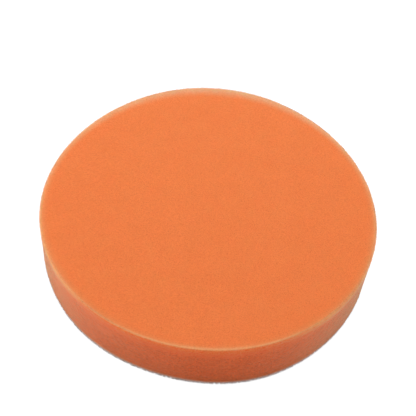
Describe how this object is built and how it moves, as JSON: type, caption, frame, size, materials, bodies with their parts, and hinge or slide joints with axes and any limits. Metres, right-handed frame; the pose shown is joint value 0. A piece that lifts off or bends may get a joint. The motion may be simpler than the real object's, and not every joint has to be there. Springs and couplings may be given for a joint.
{
  "type": "polishing pad",
  "caption": "Round flat-faced foam polishing pad with a rounded rim and a loop-fabric back that fastens to a machine polisher's backing plate.",
  "frame": {"origin": "centre of the loop face, which is the flat back of the pad", "axes": "+Z along the pad's axis of symmetry, from the loop face to the working face; X and Y are any two directions across the round pad"},
  "size_m": [0.15, 0.15, 0.026],
  "materials": {
    "foam": "matte",
    "hot_melt_film": "satin",
    "knit_ground": "matte",
    "loop_yarn": "satin"
  },
  "bodies": {
    "root": {"foam_disc": "foam", "adhesive_film": "hot_melt_film", "loop_ground": "knit_ground", "loop_pile": "loop_yarn"}
  },
  "joints": []
}
